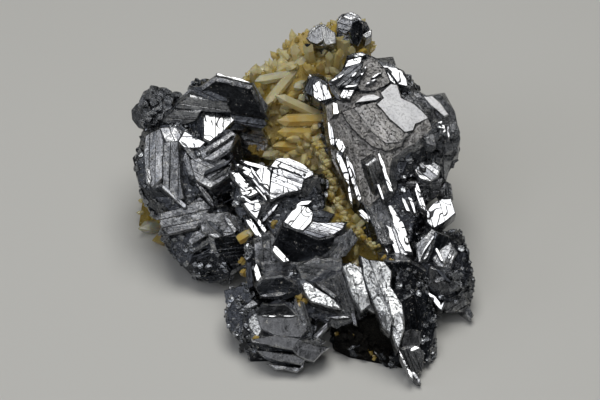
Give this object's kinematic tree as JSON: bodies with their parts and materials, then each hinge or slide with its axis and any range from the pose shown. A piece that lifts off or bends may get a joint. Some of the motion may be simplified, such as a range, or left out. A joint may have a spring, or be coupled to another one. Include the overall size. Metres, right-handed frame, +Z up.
{
  "type": "galena crystal specimen",
  "caption": "Mineral specimen of intergrown spinel-law twinned galena crystals on a bed of yellow quartz points, standing on its lowest crystals.",
  "frame": {"origin": "middle of the specimen's extents, on the surface that it stands on", "axes": "+X to the right as the specimen is shown, +Y to its back, +Z up"},
  "size_m": [0.0666, 0.0738, 0.0393],
  "materials": {
    "galena": "mirror-bright lead-grey cleavage faces with pits and striations",
    "galena_dull": "satin lead-grey crystal faces",
    "quartz": "milky yellow translucent quartz"
  },
  "bodies": {
    "root": {"galena_right_twins": "galena", "galena_left_twins": "galena", "galena_front_twins": "galena", "galena_valley_crystal": "galena", "galena_top_left_crystal": "galena_dull", "galena_top_right_crystal": "galena_dull", "quartz_bed": "quartz"}
  },
  "joints": []
}
